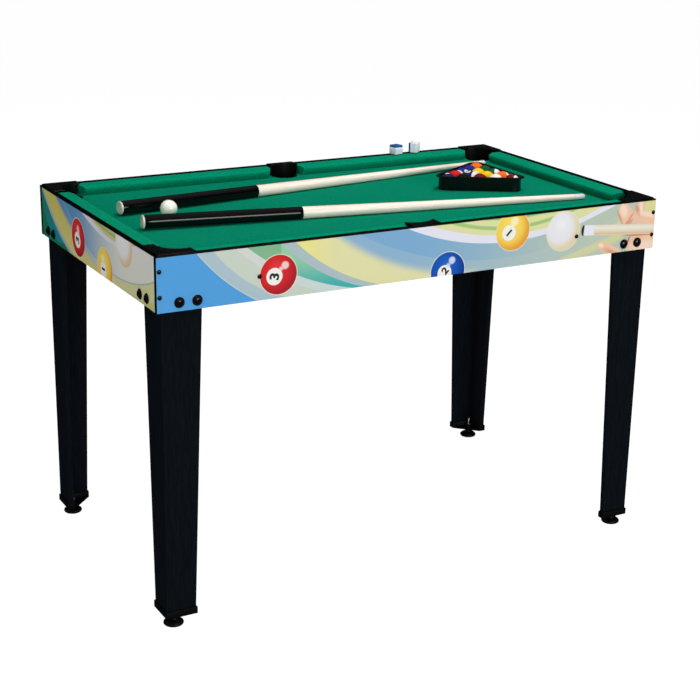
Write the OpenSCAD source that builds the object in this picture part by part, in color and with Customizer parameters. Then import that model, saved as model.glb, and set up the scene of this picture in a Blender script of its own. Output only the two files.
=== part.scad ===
// Small knock-down pool table with six drop pockets, two cues, a racked set of balls and chalk.
// Millimetres, +Z up. The origin is on the floor under the middle of the table,
// X runs along the table and the front long side faces -Y.

/* [Table] */
// Overall length of the frame
table_l = 1220; // [1150:10:1300]
// Overall width of the frame
table_w = 712; // [680:2:760]
// Height of the frame's top edge
rail_z = 810; // [780:1:830]
// Height of the frame panels
apron_h = 115; // [105:1:130]
// Thickness of the frame panels and the leg boards
panel_t = 12; // [12:0.5:15]

/* [Playing field] */
// Drop from the frame's top edge to the cloth
field_drop = 24; // [22:0.5:28]
// Thickness of the playing board
board_t = 9; // [6:0.5:12]
// Thickness of the cloth
cloth_t = 1; // [0.6:0.1:1.5]
// Width of a cushion, from the frame panel to its nose
cushion_w = 38; // [34:1:42]
// Width of a cushion where it meets the cloth
cushion_base_w = 24; // [18:1:30]
// Drop from the frame's top edge to the cushion's top
cushion_drop = 2; // [1:0.5:4]

/* [Pockets] */
// Radius of the curved back wall of a pocket
pocket_wall_r = 46; // [44:1:50]
// Radius of the cup's front rim
pocket_rim_r = 30; // [28:1:33]
// Distance between the centres of those two arcs
pocket_arc_gap = 35; // [33:1:37]
// Thickness of the moulded pocket
pocket_t = 2.5; // [2:0.5:3]
// Thickness of the flange that lies on the frame
flange_t = 3; // [2:0.5:4]
// Reach of a corner flange along each side
corner_flange_l = 86; // [80:1:92]
// Length of a middle flange
middle_flange_l = 71; // [66:1:76]
// Height of a cup's underside above the floor
cup_bottom_z = 715; // [700:1:735]

/* [Legs and feet] */
// Width of a leg board at the top
leg_top_w = 88; // [80:1:96]
// Width of a leg board at the bottom
leg_bottom_w = 65; // [55:1:75]
// Height of the end cap's underside above the floor
cap_z = 25; // [20:1:30]
// Height of the end cap
cap_h = 15; // [12:1:20]
// Radius of a levelling foot's disc
foot_r = 21.5; // [18:0.5:24]
// Radius of a levelling foot's threaded stud
stud_r = 4; // [3:0.5:5]

/* [Cues and balls] */
// Length of a cue
cue_l = 1054; // [1000:2:1070]
// Length of a cue's black butt
butt_l = 356; // [320:2:380]
// Diameter of a ball
ball_d = 38.1; // [36:0.1:40]
// Height of the triangle rack
rack_h = 34; // [26:1:34]
// Width of a chalk cube
chalk_w = 25; // [22:0.5:26]

/* [Hidden] */

$fn = 64;
LEFT = -1;
RIGHT = 1;
FRONT = -1;
REAR = 1;

// Levels
apron_z = rail_z - apron_h;
field_z = rail_z - field_drop;
board_top_z = field_z - cloth_t;
board_z = board_top_z - board_t;
loose_gap = 0.3;

// Pockets: the back wall's arc centre, measured in from the outer faces
corner_arc = 76;
middle_arc = 68;
corner_angle = 135;
middle_angle = 180;
flange_inset = 3;
wall_half_w = 33;
corner_cushion_end = 78;
middle_cushion_end = 36;
cushion_end_cut = 7;

// Fasteners
bolt_r = 2.95;
bolt_hole_r = 3.25;
tee_barrel_r = 4;
tee_flange_r = 9;
tee_flange_t = 1.5;
washer_r = 11;
washer_t = 1.5;
bolt_head_r = 8.5;
bolt_head_h = 4.5;
screw_r = 1.75;
screw_hole_r = 2.1;
screw_head_r = 4.8;
screw_head_h = 2.4;
screw_l = 40;
bolt_z = apron_z + 18;
wide_bolts = [47, 85];
side_bolts = [52, 89];
corner_screw_drops = [31, 83];
beam_screw_drop = 65;

// Cross beams
beam_x = 390;
beam_t = 18;
beam_h = 60;

// Feet, measured in from the outer faces
foot_in = 35;
cap_lip = 2.5;
cap_plate_t = 4;
leg_z = cap_z + cap_plate_t;
stud_hole_r = stud_r + 0.08;
stud_bottom_z = 12;
stud_top_z = 52;
nut_h = 6.5;
nut_r = 7.5;
foot_neck_r = 8.5;

// Cues: radii along the stick
bumper_l = 7;
ferrule_l = 22;
tip_l = 7;
butt_end_r = 14.8;
joint_r = 13.8;
shaft_end_r = 6.6;
cue_tip_x = cue_l - tip_l;
ferrule_x = cue_tip_x - ferrule_l;
// The stick rests on the end of its butt section and on its tip
cue_tilt = atan((joint_r - shaft_end_r) / (cue_tip_x - butt_l));
cue_axis_z = field_z + loose_gap + joint_r + butt_l * tan(cue_tilt);
front_cue_at = [-521.5, -56];
front_cue_turn = -8.1;
rear_cue_at = [-519, 85];
rear_cue_turn = 7.6;

// Balls and rack
ball_r = ball_d / 2;
rack_rows = 5;
rack_at = [376, 25];
rack_turn = -29.3;
rack_wall = 2.5;
rack_clear = 0.4;
rack_lip = 3;
rack_lip_t = 2.5;
rack_circ_r = (rack_rows - 1) * ball_d / sqrt(3);
rack_lip_r = 19;
cue_ball_at = [-425, 30];

// Chalk cubes on the rear rail
chalk_h = 23;
chalk_dimple_r = 24;
chalk_dimple = 2;
chalk_left_at = [332, 345.5];
chalk_left_turn = 12;
chalk_right_at = [386, 345.5];
chalk_right_turn = -51;

// Moves a piece drawn from the outer front left corner to another corner
module at_corner(side, end) {
  translate([side * table_l / 2, end * table_w / 2, 0])
    mirror([side == RIGHT ? 1 : 0, 0, 0])
      mirror([0, end == REAR ? 1 : 0, 0])
        children();
}

// Moves a piece drawn from the front long side's outer face to either long side
module at_long_side(end) {
  translate([0, end * table_w / 2, 0])
    mirror([0, end == REAR ? 1 : 0, 0])
      children();
}

// Moves a piece drawn from the left short side's outer face to either short side
module at_short_side(side) {
  translate([side * table_l / 2, 0, 0])
    mirror([side == RIGHT ? 1 : 0, 0, 0])
      children();
}

// A hole or shank along +Y from the given depth
module along_y(x, y, z, r, l) {
  translate([x, y, z]) rotate([-90, 0, 0]) cylinder(h = l, r = r);
}

// A hole or shank along +X from the given depth
module along_x(x, y, z, r, l) {
  translate([x, y, z]) rotate([0, 90, 0]) cylinder(h = l, r = r);
}

module long_apron(end) {
  at_long_side(end) difference() {
    translate([-table_l / 2, 0, apron_z]) cube([table_l, panel_t, apron_h]);
    for (side = [LEFT, RIGHT]) {
      for (x = wide_bolts)
        along_y(side * (table_l / 2 - x), -1, bolt_z, bolt_hole_r, panel_t + 2);
      for (drop = corner_screw_drops)
        along_y(side * (table_l / 2 - panel_t / 2), -1, rail_z - drop, screw_hole_r, panel_t + 2);
      along_y(side * beam_x, -1, rail_z - beam_screw_drop, screw_hole_r, panel_t + 2);
    }
  }
}

module short_apron(side) {
  reach = screw_l - panel_t;
  at_short_side(side) difference() {
    translate([0, -table_w / 2 + panel_t, apron_z]) cube([panel_t, table_w - 2 * panel_t, apron_h]);
    for (end = [FRONT, REAR]) {
      for (y = side_bolts)
        along_x(-1, end * (table_w / 2 - y), bolt_z, bolt_hole_r, panel_t + 2);
      for (drop = corner_screw_drops)
        along_y(panel_t / 2, end == FRONT ? -table_w / 2 + panel_t - 1 : table_w / 2 - screw_l,
                rail_z - drop, screw_r, reach + 1);
    }
  }
}

module front_apron() { color("skyblue") long_apron(FRONT); }
module rear_apron() { color("skyblue") long_apron(REAR); }
module left_apron() { color("lightsteelblue") short_apron(LEFT); }
module right_apron() { color("lightsteelblue") short_apron(RIGHT); }

// Plan of a pocket's cup: the space between the back wall's arc and the front rim's arc.
// The back wall's centre is the origin and +Y points to the back wall's outer side.
module cup_plan(grow) {
  intersection() {
    circle(r = pocket_wall_r + grow);
    translate([0, pocket_arc_gap]) circle(r = pocket_rim_r + grow);
  }
}

// Turns the cup's plan so that its back wall faces the outer corner or the long side
module corner_turn() {
  translate([corner_arc, corner_arc]) rotate([0, 0, corner_angle]) children();
}

module middle_turn() {
  translate([0, middle_arc]) rotate([0, 0, middle_angle]) children();
}

// Cut-outs for the six cups
module cup_holes(grow, z, h) {
  translate([0, 0, z]) linear_extrude(h) {
    for (side = [LEFT, RIGHT], end = [FRONT, REAR]) at_corner(side, end) corner_turn() cup_plan(grow);
    for (end = [FRONT, REAR]) at_long_side(end) middle_turn() cup_plan(grow);
  }
}

// A panel that fills the frame, with the pockets cut out
module field_panel(z, t, grow) {
  difference() {
    translate([-table_l / 2 + panel_t, -table_w / 2 + panel_t, z])
      cube([table_l - 2 * panel_t, table_w - 2 * panel_t, t]);
    cup_holes(grow, z - 1, t + 2);
  }
}

module playfield_board() { color("burlywood") field_panel(board_z, board_t, pocket_t + 0.5); }
module playfield_cloth() { color("seagreen") field_panel(board_top_z, cloth_t, pocket_t); }

// A cushion drawn along X from the panel's inner face, from x0 to x1, with its ends cut back
module cushion(x0, x1) {
  intersection() {
    translate([x0, 0, rail_z]) rotate([90, 0, 90]) linear_extrude(x1 - x0) polygon([
      [0, -field_drop], [cushion_base_w, -field_drop], [cushion_w, -11], [cushion_w, -8],
      [cushion_w - 4, -4], [cushion_w - 12, -cushion_drop], [0, -cushion_drop]
    ]);
    translate([0, 0, field_z - 1]) linear_extrude(field_drop + 2) polygon([
      [x0, -1], [x1, -1], [x1, cushion_w / 2], [x1 - cushion_end_cut, cushion_w + 1],
      [x0 + cushion_end_cut, cushion_w + 1], [x0, cushion_w / 2]
    ]);
  }
}

module long_cushion(side, end) {
  at_corner(side, end) translate([0, panel_t, 0])
    cushion(corner_cushion_end, table_l / 2 - middle_cushion_end);
}

module short_cushion(side) {
  at_corner(side, FRONT) mirror([1, -1, 0]) translate([0, panel_t, 0])
    cushion(corner_cushion_end, table_w - corner_cushion_end);
}

module cushion_front_left() { color("mediumseagreen") long_cushion(LEFT, FRONT); }
module cushion_front_right() { color("mediumseagreen") long_cushion(RIGHT, FRONT); }
module cushion_rear_left() { color("mediumseagreen") long_cushion(LEFT, REAR); }
module cushion_rear_right() { color("mediumseagreen") long_cushion(RIGHT, REAR); }
module cushion_left() { color("mediumseagreen") short_cushion(LEFT); }
module cushion_right() { color("mediumseagreen") short_cushion(RIGHT); }

// A cup with its floor, up to the underside of the cloth
module cup() {
  difference() {
    translate([0, 0, cup_bottom_z]) linear_extrude(board_top_z - cup_bottom_z) cup_plan(pocket_t);
    translate([0, 0, cup_bottom_z + pocket_t]) linear_extrude(apron_h) cup_plan(0);
  }
}

// The curved back wall above the cup
module back_wall() {
  translate([0, 0, board_top_z]) linear_extrude(rail_z - board_top_z) intersection() {
    difference() {
      circle(r = pocket_wall_r + pocket_t);
      circle(r = pocket_wall_r);
    }
    translate([-wall_half_w, 0]) square([2 * wall_half_w, 2 * pocket_wall_r]);
  }
}

// The flange is the given plan, drawn from the outer faces, with the back wall's arc cut away
module flange(turn, arc_at) {
  translate([0, 0, rail_z]) linear_extrude(flange_t) difference() {
    rotate([0, 0, -turn]) translate([-arc_at[0], -arc_at[1]]) children();
    circle(r = pocket_wall_r);
  }
}

module corner_pocket(side, end) {
  at_corner(side, end) corner_turn() {
    cup();
    back_wall();
    flange(corner_angle, [corner_arc, corner_arc])
      translate([flange_inset, flange_inset]) square(corner_flange_l - flange_inset);
  }
}

module middle_pocket(end) {
  at_long_side(end) middle_turn() {
    cup();
    back_wall();
    flange(middle_angle, [0, middle_arc])
      translate([-middle_flange_l / 2, flange_inset]) square([middle_flange_l, middle_arc / 2 + 2]);
  }
}

module pocket_front_left() { color("#181818") corner_pocket(LEFT, FRONT); }
module pocket_front_middle() { color("#181818") middle_pocket(FRONT); }
module pocket_front_right() { color("#181818") corner_pocket(RIGHT, FRONT); }
module pocket_rear_left() { color("#181818") corner_pocket(LEFT, REAR); }
module pocket_rear_middle() { color("#181818") middle_pocket(REAR); }
module pocket_rear_right() { color("#181818") corner_pocket(RIGHT, REAR); }

module cross_beam(side) {
  inner = table_w - 2 * panel_t;
  difference() {
    translate([side * beam_x - beam_t / 2, -inner / 2, board_z - beam_h]) cube([beam_t, inner, beam_h]);
    for (end = [FRONT, REAR])
      along_y(side * beam_x, end == FRONT ? -inner / 2 - 1 : table_w / 2 - screw_l,
              rail_z - beam_screw_drop, screw_r, screw_l - panel_t + 1);
  }
}

module cross_beam_left() { color("tan") cross_beam(LEFT); }
module cross_beam_right() { color("tan") cross_beam(RIGHT); }

// A leg board's outline, tapered on its inner edge only and straight behind the frame panel
module leg_outline(from) {
  polygon([
    [from, leg_z], [panel_t + leg_bottom_w, leg_z], [panel_t + leg_top_w, apron_z],
    [panel_t + leg_top_w, board_z], [from, board_z]
  ]);
}

// The board that faces the long side
module leg_wide_board(side, end) {
  color("#151515") at_corner(side, end) difference() {
    translate([0, 2 * panel_t, 0]) rotate([90, 0, 0]) linear_extrude(panel_t) leg_outline(panel_t);
    for (x = wide_bolts) along_y(x, panel_t - 1, bolt_z, tee_barrel_r, panel_t + 2);
  }
}

// The board that faces the short side and butts against the other one
module leg_side_board(side, end) {
  color("#1c1c1c") at_corner(side, end) difference() {
    translate([panel_t, 0, 0]) rotate([90, 0, 90]) linear_extrude(panel_t) leg_outline(2 * panel_t);
    for (y = side_bolts) along_x(panel_t - 1, y, bolt_z, tee_barrel_r, panel_t + 2);
  }
}

module leg_front_left_wide_board() { leg_wide_board(LEFT, FRONT); }
module leg_front_right_wide_board() { leg_wide_board(RIGHT, FRONT); }
module leg_rear_left_wide_board() { leg_wide_board(LEFT, REAR); }
module leg_rear_right_wide_board() { leg_wide_board(RIGHT, REAR); }
module leg_front_left_side_board() { leg_side_board(LEFT, FRONT); }
module leg_front_right_side_board() { leg_side_board(RIGHT, FRONT); }
module leg_rear_left_side_board() { leg_side_board(LEFT, REAR); }
module leg_rear_right_side_board() { leg_side_board(RIGHT, REAR); }

// The end cap: a rim round both boards on a plate that bridges them and carries the stud
module leg_cap(side, end) {
  outer = panel_t - cap_lip;
  inner = 2 * panel_t + cap_lip;
  far = panel_t + leg_bottom_w + cap_lip + 0.5;
  leg_end = far - cap_lip + 0.5;
  color("#202020") at_corner(side, end) difference() {
    union() {
      translate([0, 0, cap_z]) linear_extrude(cap_plate_t) polygon([
        [outer, outer], [far, outer], [far, inner], [inner, far], [outer, far]
      ]);
      translate([outer, outer, cap_z]) cube([far - outer, inner - outer, cap_h]);
      translate([outer, outer, cap_z]) cube([inner - outer, far - outer, cap_h]);
    }
    translate([panel_t, panel_t, leg_z]) cube([leg_end - panel_t, panel_t, cap_h]);
    translate([panel_t, panel_t, leg_z]) cube([panel_t, leg_end - panel_t, cap_h]);
    translate([foot_in, foot_in, cap_z - 1]) cylinder(h = cap_h, r = stud_hole_r);
  }
}

module leg_cap_front_left() { leg_cap(LEFT, FRONT); }
module leg_cap_front_right() { leg_cap(RIGHT, FRONT); }
module leg_cap_rear_left() { leg_cap(LEFT, REAR); }
module leg_cap_rear_right() { leg_cap(RIGHT, REAR); }

// A moulded levelling foot: a domed disc and a neck that stops against the end cap
module foot_pad(side, end) {
  neck_z = cap_z - loose_gap;
  color("#101010") at_corner(side, end) translate([foot_in, foot_in, 0]) difference() {
    rotate_extrude() polygon([
      [0, 0], [foot_r - 2, 0], [foot_r, 2], [foot_r, 5], [foot_r - 2, 8], [foot_r - 7, 10.5],
      [foot_neck_r, 12], [foot_neck_r, neck_z], [0, neck_z]
    ]);
    translate([0, 0, stud_bottom_z]) cylinder(h = cap_z, r = stud_r);
  }
}

module foot_stud(side, end) {
  point_h = 1.5;
  color("silver") at_corner(side, end) translate([foot_in, foot_in, stud_bottom_z]) {
    cylinder(h = stud_top_z - stud_bottom_z - point_h, r = stud_r);
    translate([0, 0, stud_top_z - stud_bottom_z - point_h])
      cylinder(h = point_h, r1 = stud_r, r2 = stud_r - point_h);
  }
}

module foot_pad_front_left() { foot_pad(LEFT, FRONT); }
module foot_pad_front_right() { foot_pad(RIGHT, FRONT); }
module foot_pad_rear_left() { foot_pad(LEFT, REAR); }
module foot_pad_rear_right() { foot_pad(RIGHT, REAR); }
module foot_stud_front_left() { foot_stud(LEFT, FRONT); }
module foot_stud_front_right() { foot_stud(RIGHT, FRONT); }
module foot_stud_rear_left() { foot_stud(LEFT, REAR); }
module foot_stud_rear_right() { foot_stud(RIGHT, REAR); }

module foot_nuts() {
  color("silver") for (side = [LEFT, RIGHT], end = [FRONT, REAR])
    at_corner(side, end) translate([foot_in, foot_in, leg_z]) difference() {
      rotate([0, 0, 15]) cylinder(h = nut_h, r = nut_r, $fn = 6);
      translate([0, 0, -1]) cylinder(h = nut_h + 2, r = stud_hole_r);
    }
}

// Puts a fastener drawn along +Z, with its head below z = 0, at the sixteen leg bolt places
module at_leg_bolts() {
  for (side = [LEFT, RIGHT], end = [FRONT, REAR]) at_corner(side, end) {
    for (x = wide_bolts) translate([x, 0, bolt_z]) rotate([-90, 0, 0]) children();
    for (y = side_bolts) translate([0, y, bolt_z]) rotate([0, 90, 0]) children();
  }
}

module leg_bolts() {
  color("#0c0c0c") at_leg_bolts() difference() {
    union() {
      cylinder(h = 2 * panel_t + 2, r = bolt_r);
      translate([0, 0, -washer_t]) cylinder(h = washer_t, r = bolt_r);
      rotate_extrude() polygon([
        [0, -washer_t], [bolt_head_r, -washer_t], [bolt_head_r, -washer_t - 2],
        [bolt_head_r - 3, -washer_t - bolt_head_h + 0.6], [0, -washer_t - bolt_head_h]
      ]);
    }
    translate([0, 0, -washer_t - bolt_head_h - 1]) cylinder(h = 3.2, r = 2.9, $fn = 6);
  }
}

module leg_washers() {
  color("#0c0c0c") at_leg_bolts() translate([0, 0, -washer_t]) difference() {
    cylinder(h = washer_t, r = washer_r);
    translate([0, 0, -1]) cylinder(h = washer_t + 2, r = bolt_hole_r);
  }
}

module leg_tee_nuts() {
  barrel_l = 8;
  color("silver") at_leg_bolts() difference() {
    union() {
      translate([0, 0, 2 * panel_t - barrel_l]) cylinder(h = barrel_l, r = tee_barrel_r);
      translate([0, 0, 2 * panel_t]) cylinder(h = tee_flange_t, r = tee_flange_r);
    }
    translate([0, 0, panel_t]) cylinder(h = 2 * panel_t, r = bolt_r + 0.05);
  }
}

module pan_screw() {
  cylinder(h = screw_l, r = screw_r);
  rotate_extrude() polygon([
    [0, 0], [screw_head_r, 0], [screw_head_r, -1], [screw_head_r - 1.6, -screw_head_h],
    [0, -screw_head_h]
  ]);
}

module apron_screws() {
  color("#0c0c0c") for (side = [LEFT, RIGHT], end = [FRONT, REAR]) at_corner(side, end) {
    for (drop = corner_screw_drops)
      translate([panel_t / 2, 0, rail_z - drop]) rotate([-90, 0, 0]) pan_screw();
    translate([table_l / 2 - beam_x, 0, rail_z - beam_screw_drop]) rotate([-90, 0, 0]) pan_screw();
  }
}

// Lays a cue that is drawn along +Z from its butt end onto the cloth
module lay_cue(at, turn) {
  translate([at[0], at[1], cue_axis_z]) rotate([0, 0, turn]) rotate([0, 90 + cue_tilt, 0]) children();
}

module cue_bumper(at, turn) {
  color("gainsboro") lay_cue(at, turn) rotate_extrude() polygon([
    [0, 0], [butt_end_r - 2, 0], [butt_end_r - 0.5, 1], [butt_end_r, 2.5], [butt_end_r, bumper_l],
    [0, bumper_l]
  ]);
}

module cue_butt(at, turn) {
  color("#080808") lay_cue(at, turn) translate([0, 0, bumper_l])
    cylinder(h = butt_l - bumper_l, r1 = butt_end_r, r2 = joint_r);
}

module cue_shaft(at, turn) {
  color("antiquewhite") lay_cue(at, turn) translate([0, 0, butt_l])
    cylinder(h = ferrule_x - butt_l, r1 = joint_r - 0.3, r2 = shaft_end_r);
}

module cue_ferrule(at, turn) {
  color("white") lay_cue(at, turn) translate([0, 0, ferrule_x]) cylinder(h = ferrule_l, r = shaft_end_r);
}

module cue_tip(at, turn) {
  tip_r = shaft_end_r - 0.2;
  color("whitesmoke") lay_cue(at, turn) translate([0, 0, cue_tip_x]) rotate_extrude() polygon([
    [0, 0], [tip_r, 0], [tip_r, 3], [tip_r - 1.2, 5.2], [tip_r - 3.2, 6.6], [0, tip_l]
  ]);
}

module front_cue_bumper() { cue_bumper(front_cue_at, front_cue_turn); }
module front_cue_butt() { cue_butt(front_cue_at, front_cue_turn); }
module front_cue_shaft() { cue_shaft(front_cue_at, front_cue_turn); }
module front_cue_ferrule() { cue_ferrule(front_cue_at, front_cue_turn); }
module front_cue_tip() { cue_tip(front_cue_at, front_cue_turn); }
module rear_cue_bumper() { cue_bumper(rear_cue_at, rear_cue_turn); }
module rear_cue_butt() { cue_butt(rear_cue_at, rear_cue_turn); }
module rear_cue_shaft() { cue_shaft(rear_cue_at, rear_cue_turn); }
module rear_cue_ferrule() { cue_ferrule(rear_cue_at, rear_cue_turn); }
module rear_cue_tip() { cue_tip(rear_cue_at, rear_cue_turn); }

// A triangle with rounded corners whose sides lie the given distance outside the ball centres
module rack_outline(reach, corner_r) {
  hull() for (a = [90, 210, 330])
    rotate([0, 0, a]) translate([rack_circ_r + 2 * (reach - corner_r), 0]) circle(r = corner_r);
}

module in_rack() {
  translate([rack_at[0], rack_at[1], field_z + loose_gap]) rotate([0, 0, rack_turn]) children();
}

module ball_rack() {
  inner = ball_r + rack_clear;
  outer = inner + rack_wall;
  color("#141414") in_rack() difference() {
    union() {
      linear_extrude(rack_h) rack_outline(outer, outer);
      translate([0, 0, rack_h - rack_lip_t]) linear_extrude(rack_lip_t)
        rack_outline(outer + rack_lip, rack_lip_r);
    }
    translate([0, 0, -1]) linear_extrude(rack_h + 2) rack_outline(inner, inner);
  }
}

// Fifteen balls in five rows, the single ball at the rack's far point
module object_balls() {
  row_step = ball_d * sqrt(3) / 2;
  color("gold") in_rack() for (row = [0 : rack_rows - 1], i = [0 : row])
    translate([(i - row / 2) * ball_d, rack_circ_r - row * row_step, ball_r])
      sphere(r = ball_r - 0.01);
}

module cue_ball() {
  color("white") translate([cue_ball_at[0], cue_ball_at[1], field_z + loose_gap + ball_r])
    sphere(r = ball_r);
}

// A chalk cube standing upright, with the hollow that use wears in its top
module chalk_block() {
  difference() {
    translate([-chalk_w / 2, -chalk_w / 2, 0]) cube([chalk_w, chalk_w, chalk_h]);
    translate([0, 0, chalk_h + chalk_dimple_r - chalk_dimple]) sphere(r = chalk_dimple_r);
  }
}

module chalk_left() {
  color("cornflowerblue") translate([chalk_left_at[0], chalk_left_at[1], rail_z + loose_gap])
    rotate([0, 0, chalk_left_turn]) chalk_block();
}

// This one lies on its side with its worn face to the left
module chalk_right() {
  color("cornflowerblue") translate([chalk_right_at[0], chalk_right_at[1], rail_z + loose_gap])
    rotate([0, 0, chalk_right_turn]) translate([chalk_h / 2, 0, chalk_w / 2]) rotate([0, -90, 0])
      chalk_block();
}

front_apron();
rear_apron();
left_apron();
right_apron();
playfield_board();
playfield_cloth();
cushion_front_left();
cushion_front_right();
cushion_rear_left();
cushion_rear_right();
cushion_left();
cushion_right();
pocket_front_left();
pocket_front_middle();
pocket_front_right();
pocket_rear_left();
pocket_rear_middle();
pocket_rear_right();
cross_beam_left();
cross_beam_right();
leg_front_left_wide_board();
leg_front_right_wide_board();
leg_rear_left_wide_board();
leg_rear_right_wide_board();
leg_front_left_side_board();
leg_front_right_side_board();
leg_rear_left_side_board();
leg_rear_right_side_board();
leg_cap_front_left();
leg_cap_front_right();
leg_cap_rear_left();
leg_cap_rear_right();
foot_pad_front_left();
foot_pad_front_right();
foot_pad_rear_left();
foot_pad_rear_right();
foot_stud_front_left();
foot_stud_front_right();
foot_stud_rear_left();
foot_stud_rear_right();
foot_nuts();
leg_bolts();
leg_washers();
leg_tee_nuts();
apron_screws();
front_cue_bumper();
front_cue_butt();
front_cue_shaft();
front_cue_ferrule();
front_cue_tip();
rear_cue_bumper();
rear_cue_butt();
rear_cue_shaft();
rear_cue_ferrule();
rear_cue_tip();
ball_rack();
object_balls();
cue_ball();
chalk_left();
chalk_right();
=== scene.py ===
"""A small pool table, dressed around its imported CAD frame.

Metres, in the row frame: X runs along the table, the front long side faces -Y and the floor is z = 0.
Every mesh is built in place, so its object keeps an identity transform. The vertex attribute "local" holds
each point in its own piece's axes, and the prints, the wood grain and the ball stripes follow it.
"""

import math
import random

import bmesh
import bpy
from mathutils import Matrix, Vector, geometry, noise


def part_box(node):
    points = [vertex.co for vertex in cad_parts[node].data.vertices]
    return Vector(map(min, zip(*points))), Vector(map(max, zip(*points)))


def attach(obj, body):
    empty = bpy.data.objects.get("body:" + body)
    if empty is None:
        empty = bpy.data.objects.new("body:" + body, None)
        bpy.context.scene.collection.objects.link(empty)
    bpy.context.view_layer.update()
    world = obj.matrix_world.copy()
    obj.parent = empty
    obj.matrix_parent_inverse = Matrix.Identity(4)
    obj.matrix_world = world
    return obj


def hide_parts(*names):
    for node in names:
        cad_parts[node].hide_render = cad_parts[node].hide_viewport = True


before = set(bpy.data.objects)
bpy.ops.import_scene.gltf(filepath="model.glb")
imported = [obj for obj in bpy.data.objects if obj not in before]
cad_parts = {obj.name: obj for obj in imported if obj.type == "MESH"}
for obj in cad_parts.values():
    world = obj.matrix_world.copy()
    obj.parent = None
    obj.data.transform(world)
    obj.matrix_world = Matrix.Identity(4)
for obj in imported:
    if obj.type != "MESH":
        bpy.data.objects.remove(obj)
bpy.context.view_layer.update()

MM = 0.001
SIDES = (("left", -1), ("right", 1))
ENDS = (("front", -1), ("rear", 1))
CORNERS = [(f"{end_word}_{side_word}", side, end) for end_word, end in ENDS for side_word, side in SIDES]

# The frame's own sizes, from the CAD
FRONT_LOW, FRONT_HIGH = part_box("front_apron")
HALF_L = FRONT_HIGH.x
HALF_W = -FRONT_LOW.y
PANEL = FRONT_HIGH.y - FRONT_LOW.y
RAIL_Z = FRONT_HIGH.z
APRON_Z = FRONT_LOW.z
FIELD_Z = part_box("playfield_cloth")[1].z
CLOTH_T = FIELD_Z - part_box("playfield_cloth")[0].z
BALL_R = (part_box("cue_ball")[1].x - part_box("cue_ball")[0].x) / 2

# The camera: metres, degrees and millimetres of lens
CAMERA_AT = (-1.669, -3.045, 1.577)
CAMERA_AZIMUTH = -28.96
CAMERA_ELEVATION = 18.30
CAMERA_ROLL = 1.02
CAMERA_LENS = 79.49

# Where the lamps point
TABLE_MIDDLE = Vector((0, 0, 0.75))


# ---------------- node graphs


def srgb(colour):
    """A linear colour from a display colour, whose values run from 0 to 255."""
    values = [v / 255 for v in colour]
    return (*[v / 12.92 if v <= 0.04045 else ((v + 0.055) / 1.055) ** 2.4 for v in values], 1)


def darker(colour, share):
    return tuple(v * share for v in colour)


class Graph:
    """A node tree. A value that feeds a node is a number, a vector or another node's output."""

    def __init__(self, tree):
        self.tree = tree

    def add(self, kind, inputs=(), **settings):
        node = self.tree.nodes.new(kind)
        for key, value in settings.items():
            setattr(node, key, value)
        for socket, value in zip(node.inputs, inputs):
            self.feed(socket, value)
        return node

    def feed(self, socket, value):
        if isinstance(value, bpy.types.NodeSocket):
            self.tree.links.new(value, socket)
        elif value is not None:
            socket.default_value = value

    def math(self, operation, *values):
        return self.add("ShaderNodeMath", values, operation=operation).outputs[0]

    def vector(self, operation, *values):
        return self.add("ShaderNodeVectorMath", values, operation=operation)

    def axes(self, vector):
        return self.add("ShaderNodeSeparateXYZ", [vector]).outputs

    def ramp(self, value, low, high, to_low=0.0, to_high=1.0):
        """Runs smoothly from to_low to to_high as the value goes from low to high."""
        inputs = [value, low, high, to_low, to_high]
        return self.add("ShaderNodeMapRange", inputs, interpolation_type="SMOOTHSTEP").outputs[0]

    def mix(self, factor, first, second, blend="MIX"):
        """Mixes two colours, each a display colour or another node's output."""
        node = self.add("ShaderNodeMix", [factor], data_type="RGBA", blend_type=blend)
        for socket, colour in ((node.inputs[6], first), (node.inputs[7], second)):
            self.feed(socket, srgb(colour) if isinstance(colour, tuple) else colour)
        return node.outputs[2]

    def blend(self, value, low, high, first, second, share=1.0):
        """A colour that goes that share of the way to the second as the value goes from low to high."""
        return self.mix(self.ramp(value, low, high, 0.0, share), first, second)


class Surface(Graph):
    """One material; settings are the shader's uniform values."""

    def __init__(self, name, **settings):
        self.material = bpy.data.materials.new(name)
        self.material.use_nodes = True
        super().__init__(self.material.node_tree)
        self.shader = self.tree.nodes["Principled BSDF"]
        for key, value in settings.items():
            self.shader.inputs[key.replace("_", " ")].default_value = value
        self.local = self.add("ShaderNodeAttribute", attribute_name="local").outputs["Vector"]

    def noise(self, scale, detail=2.0, stretch=None, distortion=0.0):
        """Noise with that many features a metre, pulled out along an axis where stretch is under 1."""
        where = self.vector("MULTIPLY", self.local, stretch).outputs[0] if stretch else self.local
        inputs = [where, None, scale, detail, 0.55, None, None, None, distortion]
        return self.add("ShaderNodeTexNoise", inputs).outputs[0]

    def finish(self, colour=None, roughness=None, height=None, depth=0.0):
        """Feeds the shader; depth is the bump's height in metres."""
        self.feed(self.shader.inputs["Base Color"], colour)
        self.feed(self.shader.inputs["Roughness"], roughness)
        if height is not None:
            bump = self.add("ShaderNodeBump")
            for key, value in (("Strength", 1.0), ("Distance", depth), ("Height", height)):
                self.feed(bump.inputs[key], value)
            self.feed(self.shader.inputs["Normal"], bump.outputs[0])
        return self.material


# ---------------- materials


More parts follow.
